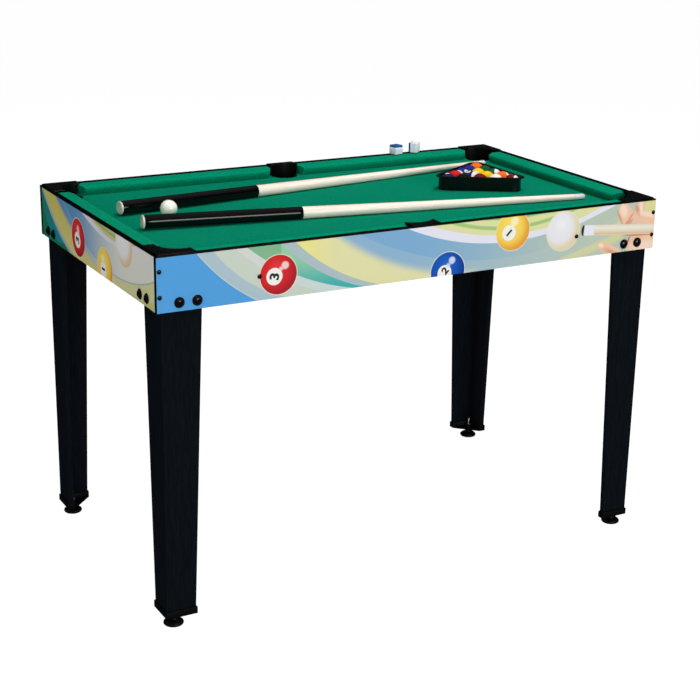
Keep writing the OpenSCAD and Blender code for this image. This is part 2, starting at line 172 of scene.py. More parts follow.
def cloth(name, dark, light):
    """Short napped cloth with a few pale fibres."""
    g = Surface(name, Sheen_Weight=0.01, Sheen_Roughness=0.5, Specular_IOR_Level=0.0)
    nap = g.noise(1500, 3)
    colour = g.blend(nap, 0.36, 0.66, dark, light)
    colour = g.blend(g.noise(14, 3), 0.35, 0.7, colour, dark, 0.2)
    colour = g.blend(g.noise(230, 3), 0.4, 0.65, colour, darker(dark, 0.85), 0.45)
    colour = g.blend(g.noise(520, 2, distortion=1.2), 0.72, 0.78, colour, (20, 165, 125), 0.3)
    return g.finish(colour, 0.93, nap, 0.35 * MM)


def plastic(name, shade, roughness, grain=0.05 * MM, **settings):
    """Moulded plastic with a faint texture and a little unevenness in its gloss."""
    g = Surface(name, **settings)
    flow = g.noise(22, 2)
    colour = g.blend(flow, 0.3, 0.7, darker(shade, 0.8), shade)
    gloss = g.ramp(flow, 0.3, 0.7, roughness * 0.85, roughness * 1.15)
    return g.finish(colour, gloss, g.noise(900, 3) if grain else None, grain)


def steel(name, shade, roughness, metallic):
    """Metal with faint stains and a fine, uneven polish."""
    g = Surface(name, Metallic=metallic)
    stain = g.noise(180, 3)
    colour = g.blend(stain, 0.3, 0.75, shade, darker(shade, 0.72))
    gloss = g.ramp(stain, 0.3, 0.7, roughness * 0.8, roughness * 1.3)
    return g.finish(colour, gloss, g.noise(1200, 2), 0.03 * MM)


def laminate(name, shade):
    """Black laminate with a fine pressed grain that runs up the boards."""
    g = Surface(name, Specular_IOR_Level=0.0)
    grain = g.noise(900, 3, stretch=(1, 1, 0.03))
    pores = g.ramp(grain, 0.42, 0.62)
    colour = g.mix(pores, darker(shade, 0.7), shade)
    return g.finish(colour, g.ramp(grain, 0.3, 0.7, 0.5, 0.62), pores, 0.08 * MM)


def chipped(g):
    """(chip noise, colour) of bare fibreboard."""
    chips = g.noise(700, 4)
    return chips, g.blend(chips, 0.3, 0.7, (132, 98, 62), (176, 140, 98))


def fibreboard(name):
    g = Surface(name, Specular_IOR_Level=0.2)
    chips, colour = chipped(g)
    colour = g.blend(g.noise(16, 3), 0.4, 0.75, colour, (150, 112, 74), 0.3)
    return g.finish(colour, 0.85, chips, 0.15 * MM)


def panel_back(name):
    """The inside of a frame panel: raw board, painted black above the playing board."""
    g = Surface(name, Specular_IOR_Level=0.1)
    chips, colour = chipped(g)
    board_z = FIELD_Z - 12 * MM
    colour = g.blend(g.axes(g.local)[1], board_z, board_z + MM, colour, (8, 8, 9))
    return g.finish(colour, 0.8, chips, 0.15 * MM)


def timber(name, along, dark, light, **settings):
    """Straight-grained wood; along is a stretch that is small on the grain's own axis."""
    g = Surface(name, **settings)
    figure = g.noise(70, 4, stretch=along, distortion=0.6)
    fine = g.noise(700, 3, stretch=along)
    colour = g.blend(figure, 0.35, 0.7, light, dark)
    colour = g.blend(fine, 0.5, 0.75, colour, darker(dark, 0.82), 0.35)
    return g.finish(colour, g.ramp(fine, 0.3, 0.7, 0.3, 0.42), fine, 0.04 * MM)


def chalk_paper(name):
    """A paper sleeve with a faint printed band round it."""
    g = Surface(name, Specular_IOR_Level=0.2)
    height = g.axes(g.local)[2]
    paper = g.blend(g.noise(400, 3), 0.3, 0.7, (236, 240, 250), (250, 251, 255))
    band = g.math("MULTIPLY", g.ramp(height, 3.5 * MM, 4.0 * MM), g.ramp(height, 12.5 * MM, 12.0 * MM))
    colour = g.mix(g.math("MULTIPLY", band, 0.2), paper, (150, 175, 210))
    return g.finish(colour, 0.7, g.noise(900, 3), 0.05 * MM)


def chalk_block(name):
    g = Surface(name, Specular_IOR_Level=0.05)
    grit = g.noise(1100, 4)
    colour = g.blend(grit, 0.3, 0.7, (22, 68, 130), (52, 104, 170))
    return g.finish(colour, 0.95, grit, 0.25 * MM)


def ball_resin(name, colour, striped):
    """A cast ball: its stripe runs round local Y and its two number discs face local Z."""
    stripe_half, disc_cos, edge = 0.54, 0.955, 0.004
    ivory = (238, 234, 222)
    g = Surface(name, Roughness=0.08, Specular_IOR_Level=0.25)
    way = g.axes(g.vector("NORMALIZE", g.local).outputs[0])
    shade = g.blend(g.noise(60, 2), 0.3, 0.7, colour, darker(colour, 0.8), 0.1)
    if striped:
        off_middle = g.math("ABSOLUTE", way[1])
        shade = g.blend(off_middle, stripe_half + edge, stripe_half - edge, ivory, shade)
    return g.finish(g.blend(g.math("ABSOLUTE", way[2]), disc_cos - edge, disc_cos + edge, shade, ivory))


def plain_ball(name):
    g = Surface(name, Coat_Weight=0.5, Coat_Roughness=0.04)
    return g.finish(g.blend(g.noise(45, 3), 0.3, 0.75, (250, 248, 238), (238, 233, 216), 0.35), 0.12)


def ink(name):
    g = Surface(name)
    return g.finish(g.mix(g.noise(500, 2), (14, 14, 16), (26, 26, 28)), 0.4)


# ---------------- prints


class Print(Surface):
    """A printed panel: flat shapes painted one over another, in millimetres along it and above the floor."""

    def __init__(self, name, base):
        super().__init__(name, Specular_IOR_Level=0.12)
        self.point = self.vector("MULTIPLY", self.local, (1000, 1000, 0)).outputs[0]
        self.along, self.level, _ = self.axes(self.point)
        self.colour = base

    def disc(self, x, z, radius, soft=0.5):
        """Inside a circle."""
        distance = self.vector("DISTANCE", self.point, (x, z, 0)).outputs["Value"]
        return self.ramp(distance, radius + soft, radius - soft)

    def hoop(self, x, z, radius, half, soft):
        """Inside a circular line of twice that half width."""
        hole = self.disc(x, z, radius - half, soft)
        return self.both(self.disc(x, z, radius + half, soft), self.outside(hole))

    def placed(self, x, z, half_x, half_z, turn):
        settings = [self.point, (x, z, 0), (0, 0, math.radians(turn)), (half_x, half_z, 1)]
        return self.add("ShaderNodeMapping", settings, vector_type="TEXTURE").outputs[0]

    def oval(self, x, z, half_x, half_z, turn=0, soft=0.05):
        """Inside an ellipse; soft is a share of its size."""
        where = self.placed(x, z, half_x, half_z, turn)
        return self.ramp(self.vector("LENGTH", where).outputs["Value"], 1 + soft, 1 - soft)

    def bar(self, x0, z0, x1, z1, half, soft=0.5):
        """Inside a straight bar between two points."""
        length = math.hypot(x1 - x0, z1 - z0)
        turn = math.degrees(math.atan2(z1 - z0, x1 - x0))
        along, across, _ = self.axes(self.placed((x0 + x1) / 2, (z0 + z1) / 2, 1, 1, turn))
        sizes = ((self.math("ABSOLUTE", along), length / 2), (self.math("ABSOLUTE", across), half))
        return self.both(*[self.ramp(off, size + soft, size - soft) for off, size in sizes])

    def above(self, x0, z0, x1, z1, soft=0.5):
        """Above the straight line through two points."""
        turn = math.degrees(math.atan2(z1 - z0, x1 - x0))
        return self.ramp(self.axes(self.placed(x0, z0, 1, 1, turn))[1], -soft, soft)

    def fade(self, start, end, first, second):
        """A colour that changes along the panel."""
        return self.blend(self.along, start, end, first, second)

    def rise(self, low, high, first, second):
        """A colour that changes up the panel."""
        return self.blend(self.level, low, high, first, second)

    def both(self, *masks):
        return self.math("MULTIPLY", *masks)

    def either(self, *masks):
        return self.math("MAXIMUM", *masks)

    def outside(self, mask):
        return self.math("SUBTRACT", 1.0, mask)

    def paint(self, mask, colour, strength=1.0):
        if strength < 1:
            mask = self.math("MULTIPLY", mask, strength)
        self.colour = self.mix(mask, self.colour, colour)

    def ball(self, x, z, radius, colour, rim, number_disc=None):
        """A pictured ball, darker to its lower right, with a pale line round it."""
        self.paint(self.disc(x, z, radius + 2.0, 0.8), (232, 232, 205), 0.7)
        body = self.disc(x, z, radius)
        self.paint(body, colour)
        lit = self.disc(x - 0.2 * radius, z + 0.2 * radius, 0.92 * radius, 0.3 * radius)
        self.paint(self.both(body, self.outside(lit)), rim, 0.85)
        glow = self.disc(x - 0.1 * radius, z + 0.35 * radius, 0.25 * radius, 0.4 * radius)
        self.paint(glow, tuple(min(255, v + 45) for v in colour), 0.45)
        if number_disc:
            disc_x, disc_z, disc_r = number_disc
            self.paint(self.disc(disc_x, disc_z, disc_r + 0.8, 0.8), rim, 0.5)
            self.paint(self.disc(disc_x, disc_z, disc_r), (242, 241, 232))

    def highlight(self, x0, z0, near, x1, z1, far, colour):
        """A soft gleam that widens from one point towards another."""
        gleam = self.either(self.disc(x0, z0, near, 2.5), self.disc(x1, z1, far, 2))
        self.paint(gleam, colour, 0.85)

    def done(self):
        """Tones the whole print down, and adds a black line along its top edge and a faint grain."""
        tone, top_line = (234, 234, 234), RAIL_Z / MM - 3
        self.colour = self.mix(1.0, self.colour, tone, "MULTIPLY")
        self.paint(self.ramp(self.level, top_line - 0.2, top_line + 0.2), (6, 6, 7))
        colour = self.blend(self.noise(900, 2), 0.3, 0.7, self.colour, (90, 95, 90), 0.05)
        return self.finish(colour, 0.34, self.noise(320, 2), 0.02 * MM)


RED, RED_RIM = (212, 30, 36), (160, 18, 36)
YELLOW, YELLOW_RIM = (246, 214, 84), (230, 146, 48)
BLUE, BLUE_RIM = (0, 82, 180), (2, 48, 142)
STREAK = (218, 216, 150)
SKIN, SKIN_SHADE, SKIN_LIGHT, SKIN_LINE = (240, 196, 166), (222, 152, 120), (250, 222, 200), (190, 96, 72)

# A generic hand in ovals: (middle x and z, half sizes, turn), colour and softness
HAND = [
    ((524, 784, 18, 25, 20), SKIN, 0.08),
    ((572, 768, 50, 15, -14), SKIN, 0.08),
    ((569, 797, 10, 25, 4), SKIN, 0.08),
    ((574, 712, 46, 21, 2), SKIN, 0.06),
    ((486, 703, 40, 12, -27), SKIN, 0.08),
    ((519, 792, 10, 16, 20), SKIN_LIGHT, 0.5),
    ((558, 789, 5, 14, 25), SKIN_SHADE, 0.5),
    ((590, 776, 26, 6, -14), SKIN_LIGHT, 0.6),
    ((568, 800, 5, 20, 4), SKIN_LIGHT, 0.5),
    ((461, 716, 8, 5, -30), SKIN_LIGHT, 0.4),
    ((534, 762, 13, 5, 30), SKIN_SHADE, 0.6),
    ((540, 775, 2, 13, -40), SKIN_SHADE, 0.4),
    ((509, 776, 2.5, 20, 28), SKIN_SHADE, 0.5),
    ((568, 731, 44, 2.5, -4), SKIN_LINE, 0.4),
    ((536, 718, 2.5, 14, -24), SKIN_LINE, 0.5),
    ((580, 704, 34, 12, 2), SKIN_LIGHT, 0.7),
    ((500, 692, 30, 6, -27), SKIN_SHADE, 0.7),
]


def left_bands(p):
    """Pale bands at the left end, with a green one among them."""
    p.paint(p.disc(-183, 1075, 434.6), (205, 213, 190))
    p.paint(p.disc(-183, 1075, 433), (170, 192, 202))
    p.paint(p.disc(-233, 1001, 321), (199, 209, 196))
    p.paint(p.disc(-122, 1145, 465), p.rise(700, 800, (200, 216, 212), (210, 213, 208)))
    green = p.rise(700, 790, (60, 176, 174), (150, 204, 165))
    green = p.mix(p.ramp(p.along, -340, -344), green, (128, 182, 140))
    p.paint(p.disc(-74, 1231, 545), green)
    p.paint(p.disc(-26, 1123, 446), (172, 190, 194))


def yellow_and_blue(p):
    """The yellow sweep, the blue field, and streaks of yellow at the lower right and behind the hand."""
    p.paint(p.disc(-1, 1121, 440), p.fade(-340, -200, (238, 229, 120), (224, 222, 168)))
    blue_field = p.either(p.disc(133, 1282, 586, 13), p.ramp(p.along, 112, 140))
    p.paint(blue_field, p.fade(-150, 520, (139, 178, 208), (188, 201, 184)))
    p.paint(p.disc(194, 1468, 751), p.fade(-60, 460, (123, 171, 209), (184, 199, 182)))
    p.paint(p.bar(350, 690, 520, 735, 9, 4), STREAK, 0.7)
    p.paint(p.bar(480, 745, 540, 780, 8, 4), STREAK, 0.7)
    p.paint(p.ramp(p.along, 575, 580), (224, 220, 150), 0.9)


def swoosh(p):
    """The white swoosh with green and yellow above it; both run on straight at the right."""
    right = p.ramp(p.along, 352, 354)
    white = p.either(p.disc(210, 1380, 628), p.both(right, p.above(397, 773, 500, 807)))
    p.paint(white, (228, 228, 241))
    top = p.either(p.disc(225, 1374, 606), p.both(right, p.above(394, 784, 463, 808)))
    p.paint(top, (221, 223, 164))
    for radius in (500, 478):
        p.paint(p.both(top, p.hoop(223, 1283, radius, 4, 1.5)), (150, 196, 112), 0.85)
    p.paint(p.both(top, p.bar(146, 812, 330, 812, 6, 2)), (96, 172, 88), 0.85)


def hand_and_cue(p):
    """A cue that lies across the generic hand."""
    for place, colour, soft in HAND:
        p.paint(p.oval(*place, soft=soft), colour, 0.92)
    p.paint(p.oval(409, 756, 6, 12.5), (40, 42, 45))
    p.paint(p.bar(410, 756.5, 620, 739, 12, 1), (226, 219, 196))
    p.paint(p.bar(440, 746, 620, 731, 3, 3), (226, 180, 132), 0.7)
    p.paint(p.bar(440, 759, 620, 744, 4, 4), (240, 234, 218), 0.8)
    p.paint(p.bar(412, 756.5, 438, 754.3, 11.5), (232, 233, 242))


def long_print():
    """Sweeping bands of colour with four balls, and a hand bridging a cue at the right end."""
    p = Print("printed_long_panel", (78, 158, 220))
    p.paint(p.ramp(p.along, 20, 120), (184, 200, 188))
    left_bands(p)
    yellow_and_blue(p)
    swoosh(p)
    p.ball(-348, 744, 41, RED, RED_RIM, (-357, 741, 18))
    p.highlight(-342, 756, 4, -333, 762, 8, (246, 220, 214))
    p.ball(54, 704, 42, BLUE, BLUE_RIM, (46, 701, 17.5))
    p.highlight(55, 717, 5, 64, 727, 8, (216, 226, 248))
    p.ball(218, 775, 43, YELLOW, YELLOW_RIM, (208, 772, 18))
    p.highlight(217, 787, 6, 222, 797, 10, (252, 240, 196))
    p.ball(353, 761, 44, (232, 232, 236), (226, 206, 150))
    hand_and_cue(p)
    return p.done()


def short_print():
    """The same sweep on a short panel, with three balls."""
    p = Print("printed_short_panel", (4, 122, 88))
    p.paint(p.disc(-229, 826, 122), p.rise(700, 790, (4, 140, 160), (14, 134, 108)))
    p.paint(p.disc(-20, 1128, 454), (165, 180, 186))
    p.paint(p.disc(10, 1181, 504), p.rise(700, 800, (212, 206, 128), (206, 196, 96)))
    p.paint(p.disc(169, 1498, 804, 9), p.fade(-240, 120, (78, 140, 194), (200, 210, 220)))
    p.paint(p.disc(127, 1304, 589), p.fade(-150, 200, (84, 146, 194), (222, 224, 214)))
    p.paint(p.hoop(127, 1304, 589.25, 1.75, 1), (140, 172, 188), 0.8)
    lower = p.outside(p.disc(127, 1304, 590))
    p.paint(p.both(lower, p.ramp(p.along, 60, 140)), (218, 216, 140), 0.8)
    p.paint(p.disc(114, 1378, 599), (224, 220, 232))
    top = p.disc(121, 1266, 478)
    p.paint(top, (205, 206, 140))
    p.paint(p.both(top, p.hoop(124, 1396, 597, 3, 1.5)), (150, 180, 96), 0.85)
    p.ball(-97, 744, 42, RED, RED_RIM, (-102, 738, 18))
    p.paint(p.oval(-96, 761, 8, 11, 15, 0.2), (240, 205, 200), 0.8)
    p.ball(67, 714, 45, YELLOW, YELLOW_RIM, (58, 710, 18))
    p.paint(p.disc(55, 734, 9, 2.5), (250, 238, 190), 0.8)
    p.ball(184, 793, 46, (234, 234, 236), (222, 190, 128))
    return p.done()


MATERIALS = {
    "long_print": long_print(),
    "short_print": short_print(),
    "edge": plastic("panel_edge_band", (4, 4, 5), 0.5, Specular_IOR_Level=0.02),
    "back": panel_back("panel_back"),
    "board": fibreboard("raw_fibreboard"),
    "cloth": cloth("playing_cloth", (0, 114, 86), (0, 147, 112)),
    "cushion": cloth("cushion_cloth", (0, 124, 92), (0, 158, 118)),
    "pocket": plastic("pocket_plastic", (6, 7, 8), 0.3, 0.02 * MM, Specular_IOR_Level=0.12),
    "beam": timber("beam_pine", (1, 0.05, 1), (176, 132, 82), (214, 176, 124)),
    "leg": laminate("leg_laminate", (15, 20, 25)),
    "cap": plastic("cap_plastic", (8, 9, 10), 0.45, 0.1 * MM, Specular_IOR_Level=0.12),
    "foot": plastic("foot_plastic", (9, 9, 10), 0.3, Specular_IOR_Level=0.25),
    "zinc": steel("zinc_plate", (190, 192, 190), 0.32, 1.0),
    "black_steel": steel("black_oxide", (16, 16, 17), 0.22, 0.3),
    "bumper": plastic("cue_bumper", (236, 230, 218), 0.5),
    "lacquer": plastic("cue_lacquer", (2, 2, 4), 0.17, 0.0, Specular_IOR_Level=0.3),
    "maple": timber("cue_maple", (1, 1, 0.02), (243, 217, 200), (255, 241, 230), Coat_Weight=0.15),
    "ferrule": plastic("cue_ferrule", (240, 240, 240), 0.3),
    "tip": plastic("cue_tip_leather", (226, 224, 214), 0.85, 0.2 * MM),
    "rack": plastic("rack_plastic", (10, 11, 11), 0.35, 0.03 * MM, Specular_IOR_Level=0.25),
    "cue_ball": plain_ball("cue_ball_resin"),
    "paper": chalk_paper("chalk_paper"),
    "chalk": chalk_block("chalk"),
    "ink": ink("printed_ink"),
}


# ---------------- outlines and places


def ring(radius, sides):
    """A circle's points, anticlockwise; radius may be a function of the angle."""
    turns = [2 * math.pi * i / sides for i in range(sides)]
    reach = radius if callable(radius) else lambda angle: radius
    return [(reach(t) * math.cos(t), reach(t) * math.sin(t)) for t in turns]


def arc(x, y, radius, start, end, steps):
    """Points along an arc between two angles in degrees."""
    turns = [math.radians(start + (end - start) * i / steps) for i in range(steps + 1)]
    return [(x + radius * math.cos(t), y + radius * math.sin(t)) for t in turns]


def quarter(steps):
    """(cosine, sine) at even steps through a quarter turn."""
    turns = [math.pi / 2 * i / steps for i in range(steps + 1)]
    return [(math.cos(t), math.sin(t)) for t in turns]


def rounding(radius, steps):
    """(inset, height) up the rounded lower edge of a prism."""
    if not radius:
        return [(0, 0)]
    return [(radius * (1 - sine), radius * (1 - cosine)) for cosine, sine in quarter(steps)]


def lifted(outline, z):
    return [(x, y, z) for x, y in outline]


def fillet(corners, radius, steps=5):
    """A polygon with rounded corners; radius is one number, or one for each corner."""
    radii = radius if isinstance(radius, (list, tuple)) else [radius] * len(corners)
    outline = []
    for i, (corner, size) in enumerate(zip(corners, radii)):
        at = Vector(corner)
        back = Vector(corners[i - 1]) - at
        on = Vector(corners[(i + 1) % len(corners)]) - at
        if size <= 0:
            outline.append(tuple(at))
            continue
        half = back.angle(on) / 2
        cut = min(size / math.tan(half), 0.49 * back.length, 0.49 * on.length)
        back.normalize()
        on.normalize()
        centre = at + (back + on).normalized() * (cut / math.cos(half))
        start = at + back * cut - centre
        end = at + on * cut - centre
        first = math.atan2(start.y, start.x)
        sweep = (math.atan2(end.y, end.x) - first + math.pi) % (2 * math.pi) - math.pi
        for k in range(steps + 1):
            angle = first + sweep * k / steps
            outline.append(tuple(centre + start.length * Vector((math.cos(angle), math.sin(angle)))))
    return outline


def inset(outline, distance):
    """An anticlockwise outline moved inwards, or outwards where the distance is negative."""
    moved = []
    for i, corner in enumerate(outline):
        at = Vector(corner)
        into = (at - Vector(outline[i - 1])).normalized()
        out = (Vector(outline[(i + 1) % len(outline)]) - at).normalized()
        first, second = Vector((-into.y, into.x)), Vector((-out.y, out.x))
        moved.append(tuple(at + (first + second) * (distance / (1 + first.dot(second)))))
    return moved


def spin(degrees, axis="Z"):
    return Matrix.Rotation(math.radians(degrees), 4, axis)


def move(x, y, z=0.0):
    return Matrix.Translation((x, y, z))


def facing(at, outward, up=(0, 0, 1)):
    """A place whose Z axis points outward and whose Y axis points up."""
    out = Vector(outward).normalized()
    right = Vector(up).cross(out).normalized()
    turn = Matrix((right, out.cross(right), out)).transposed()
    return Matrix.Translation(at) @ turn.to_4x4()


def upright(node, z=0.0):
    """A place at height z on the middle line of a CAD node's box."""
    low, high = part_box(node)
    return move((low.x + high.x) / 2, (low.y + high.y) / 2, z)


# ---------------- mesh tools


def add_object(name, data):
    made = bpy.data.objects.new(name, data)
    bpy.context.scene.collection.objects.link(made)
    return made


class Skin:
    """A mesh under construction, drawn in its own axes and unit, and set down by place."""

    def __init__(self, place=Matrix(), unit=1.0, bm=None):
        self.bm = bmesh.new() if bm is None else bm
        self.layer = self.bm.verts.layers.float_vector.new("local")
        self.place = place
        self.unit = unit
        self.slot = 0

    def vert(self, point):
        local = Vector([value * self.unit for value in point])
        made = self.bm.verts.new(self.place @ local)
        made[self.layer] = local
        return made

    def face(self, corners):
        made = self.bm.faces.new(corners)
        made.material_index = self.slot

    def loft(self, rings, around=False):
        """Joins rings of equal length; around joins the last to the first, and else both ends are capped."""
        rows = [[self.vert(p) for p in points] for points in rings]
        pairs = list(zip(rows, rows[1:]))
        if around:
            pairs.append((rows[-1], rows[0]))
        for low, high in pairs:
            for i in range(len(low)):
                j = (i + 1) % len(low)
                self.face((low[i], low[j], high[j], high[i]))
        if not around:
            self.face(rows[0][::-1])
            self.face(rows[-1])

    def turned(self, profile, sides=48, around=False):
        """A turned solid from its (radius, height) points."""
        self.loft([lifted(ring(radius, sides), z) for radius, z in profile], around)

    def slab(self, outline, low, high, top=0.0, bottom=0.0, steps=3):
        """An upright prism with rounded top and bottom edges."""
        levels = [(depth, low + rise) for depth, rise in rounding(bottom, steps)]
        levels += [(depth, high - drop) for depth, drop in rounding(top, steps)[::-1]]
        self.loft([lifted(inset(outline, depth), z) for depth, z in levels])

    def add(self, points, faces, bend):
        """Adds a ready mesh, with each point sent through bend."""
        made = [self.vert(bend(p)) for p in points]
        for corners in faces:
            self.face([made[i] for i in corners])

    def to_object(self, name, materials, sharp=32):
        """Makes the object; materials names its slots in order, and sharp is the angle that stays an edge."""
        bmesh.ops.recalc_face_normals(self.bm, faces=self.bm.faces)
        mesh = bpy.data.meshes.new(name)
        self.bm.to_mesh(mesh)
        self.bm.free()
        for key in materials.split():
            mesh.materials.append(MATERIALS[key])
        mesh.shade_smooth()
        mesh.set_sharp_from_angle(angle=math.radians(sharp))
        return add_object(name, mesh)

    def piece(self, name, materials, slot, replaces, body="root", sharp=32):
        """Makes the object, hangs it under its body's empty and hides the CAD nodes that it replaces."""
        made = self.to_object(name, materials, sharp)
        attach(made, body)
        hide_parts(*replaces)
        return made


def welded(node):
    """A CAD node's mesh with the points that its faces share made one."""
    bm = bmesh.new()
    bm.from_mesh(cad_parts[node].data)
    bmesh.ops.remove_doubles(bm, verts=bm.verts, dist=0.001 * MM)
    return bm


def solids(node):
    """The middle points of a CAD node's separate solids, in order along X and then Y."""
    bm = welded(node)
    bm.verts.index_update()
    seen, middles = set(), []
    for start in bm.verts:
        if start.index in seen:
            continue
        seen.add(start.index)
        group, todo = [], [start]
        while todo:
            vert = todo.pop()
            group.append(vert.co.copy())
            for edge in vert.link_edges:
                other = edge.other_vert(vert)
                if other.index not in seen:
                    seen.add(other.index)
                    todo.append(other)
        middles.append(box_middle(group))
    bm.free()
    return sorted(middles, key=lambda p: (round(p.x, 4), round(p.y, 4)))


def box_middle(points):
    """The middle of the box round some points."""
    return Vector([(min(p[i] for p in points) + max(p[i] for p in points)) / 2 for i in range(3)])


def bevelled(node, name, key, slot, width):
    """Stands for a CAD node with the same shape and softened edges."""
    bm = welded(node)
    flat, edge_turn = math.radians(0.5), math.radians(40)
    bmesh.ops.dissolve_limit(bm, angle_limit=flat, verts=bm.verts, edges=bm.edges)
    sharp = [e for e in bm.edges if len(e.link_faces) == 2 and e.calc_face_angle() > edge_turn]
    rounded = {"offset": width, "segments": 2, "profile": 0.5, "affect": "EDGES", "clamp_overlap": True}
    bmesh.ops.bevel(bm, geom=sharp, **rounded)
    skin = Skin(bm=bm)
    for vert in bm.verts:
        vert[skin.layer] = vert.co
    skin.piece(name, key, slot, [node])


def text_mesh(text, size, depth):
    """A numeral's points and faces, a little bold and wide, centred on the origin and facing +Z."""
    bold, wide = 0.035, 1.15
    curve = bpy.data.curves.new("numeral", "FONT")
    curve.body = text
    curve.size = size
    curve.extrude = depth
    curve.offset = bold * size
    curve.align_x = "CENTER"
    curve.align_y = "CENTER"
    holder = add_object("numeral", curve)
    bpy.context.view_layer.update()
    mesh = bpy.data.meshes.new_from_object(holder.evaluated_get(bpy.context.evaluated_depsgraph_get()))
    points = [v.co.copy() for v in mesh.vertices]
    faces = [list(f.vertices) for f in mesh.polygons]
    bpy.data.objects.remove(holder)
    bpy.data.curves.remove(curve)
    bpy.data.meshes.remove(mesh)
    middle = box_middle(points)
    return [(p - middle) * Vector((wide, 1, 1)) for p in points], faces


# ---------------- frame panels


def panel(word, place, half, print_key, numerals):
    """A frame panel: a print outside, black bands round its edges and raw board inside.

    It is drawn with X along its outer face, Y up from the floor and Z outward. Its slots are the print, the
    bands, the board and the ink of the numerals, which stand a hair proud of the print.
    """
    soft, proud, flat_on = 0.8 * MM, 0.06 * MM, 0.9
    skin = Skin(place)
    edges = [(-half, APRON_Z), (half, APRON_Z), (half, RAIL_Z), (-half, RAIL_Z)]
    skin.slab(edges, -PANEL, 0, soft, soft, 2)
    outward = place.to_3x3() @ Vector((0, 0, 1))
    bmesh.ops.recalc_face_normals(skin.bm, faces=skin.bm.faces)
    for face in skin.bm.faces:
        share = face.normal.dot(outward)
        face.material_index = 0 if share > flat_on else 2 if share < -flat_on else 1
    skin.slot = 3
    for text, x, z, size, turn in numerals:
        points, faces = text_mesh(text, size * MM, proud)
        turned = move(x * MM, z * MM) @ spin(turn)
        skin.add(points, faces, lambda p: turned @ p)
    slots = f"{print_key} edge back ink"
    skin.piece(f"{word}_frame_panel", slots, "printed_panel", [f"{word}_apron"], sharp=20)


def panels():
    long_numerals = [("3", -357, 741, 28, 80), ("2", 47, 706, 23, 45), ("1", 208, 772, 24, -45)]
    short_numerals = [("3", -102, 738, 28, 80), ("1", 58, 712, 26, 90)]
    for word, end in ENDS:
        place = facing((0, end * HALF_W, 0), (0, end, 0))
        panel(word, place, HALF_L, "long_print", long_numerals)
    for word, side in SIDES:
        place = facing((side * HALF_L, 0, 0), (side, 0, 0))
        panel(word, place, HALF_W - PANEL, "short_print", short_numerals)


# ---------------- pockets

WALL_R, RIM_R, ARC_GAP = 46 * MM, 30 * MM, 35 * MM
CORNER_ARC, MIDDLE_ARC = 76 * MM, 68 * MM
POCKET_T, FLANGE_T, FLANGE_INSET = 2.5 * MM, 3 * MM, 3 * MM
WALL_HALF_W = 33 * MM
CORNER_FLANGE, MIDDLE_FLANGE, MIDDLE_FLANGE_D = 86 * MM, 71 * MM, 36 * MM
CUP_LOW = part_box("pocket_front_left")[0].z


def cup_outline(grow):
    """The cup's plan: the back wall's arc above, the front rim's arc below."""
    wall, rim = WALL_R + grow, RIM_R + grow
    meet_y = (wall**2 - rim**2 + ARC_GAP**2) / (2 * ARC_GAP)
    meet_x = math.sqrt(wall**2 - meet_y**2)
    wall_turn = math.degrees(math.atan2(meet_y, meet_x))
    rim_turn = math.degrees(math.atan2(meet_y - ARC_GAP, meet_x))
    back = arc(0, 0, wall, wall_turn, 180 - wall_turn, 20)
    front = arc(0, ARC_GAP, rim, 180 - rim_turn, 360 + rim_turn, 36)
    return back[:-1] + front[:-1]


def pocket_places():
    """(name, place, is_corner) of each pocket; +Y in the place points to the outer side."""
    for end_word, end in ENDS:
        for side_word, side in SIDES:
            at = move(side * (HALF_L - CORNER_ARC), end * (HALF_W - CORNER_ARC))
            turn = math.degrees(math.atan2(end, side)) - 90
            yield f"{end_word}_{side_word}", at @ spin(turn), True
        yield f"{end_word}_middle", move(0, end * (HALF_W - MIDDLE_ARC)) @ spin(0 if end > 0 else 180), False


def corner_flange():
    """A square plate that the back wall's arc cuts away, turned to its pocket's axes."""
    near, far = FLANGE_INSET - CORNER_ARC, CORNER_FLANGE - CORNER_ARC
    meet = math.degrees(math.asin(far / WALL_R))
    stop = -WALL_R * math.cos(math.radians(meet))
    plate = [(near, near), (far, near), (far, stop), (stop, far), (near, far)]
    steps = 5
    outline = fillet(plate, [5 * MM, 3 * MM, 0, 0, 3 * MM], steps)
    # The arc comes after two rounded corners and the point where it starts
    start = 2 * (steps + 1) + 1
    bend = arc(0, 0, WALL_R, meet - 90, -180 - meet, 40)
    turn = Matrix.Rotation(math.radians(-135), 2)
    return [tuple(turn @ Vector(p)) for p in outline[:start] + bend[1:-1] + outline[start:]]


def middle_flange():
    half, near, far = MIDDLE_FLANGE / 2, MIDDLE_ARC - FLANGE_INSET, MIDDLE_ARC - MIDDLE_FLANGE_D
    meet = math.degrees(math.asin(far / WALL_R))
    corners = fillet([(half, far), (half, near), (-half, near), (-half, far)], [0, 4 * MM, 4 * MM, 0])
    return corners + arc(0, 0, WALL_R, 180 - meet, meet, 30)


def pocket_wall(skin):
    """The curved back wall, from the flange down to the cloth."""
    reach = [math.degrees(math.acos(WALL_HALF_W / r)) for r in (WALL_R, WALL_R + POCKET_T)]
    outer = arc(0, 0, WALL_R + POCKET_T, reach[1], 180 - reach[1], 24)
    inner = arc(0, 0, WALL_R, 180 - reach[0], reach[0], 24)
    skin.slab(outer + inner, FIELD_Z - CLOTH_T, RAIL_Z)


def pocket_cup(skin):
    """The cup below the wall, up its outside and down its inside."""
    outside, inside = cup_outline(POCKET_T), cup_outline(0)
    high, radius, steps = FIELD_Z - CLOTH_T, 6 * MM, 4
    rings = [lifted(inset(outside, depth), CUP_LOW + rise) for depth, rise in rounding(radius, steps)]
    rings += [lifted(outside, high), lifted(inside, high)]
    floor = CUP_LOW + POCKET_T
    hollow = rounding(radius - POCKET_T, steps)
    rings += [lifted(inset(inside, depth), floor + rise) for depth, rise in hollow[::-1]]
    skin.loft(rings)


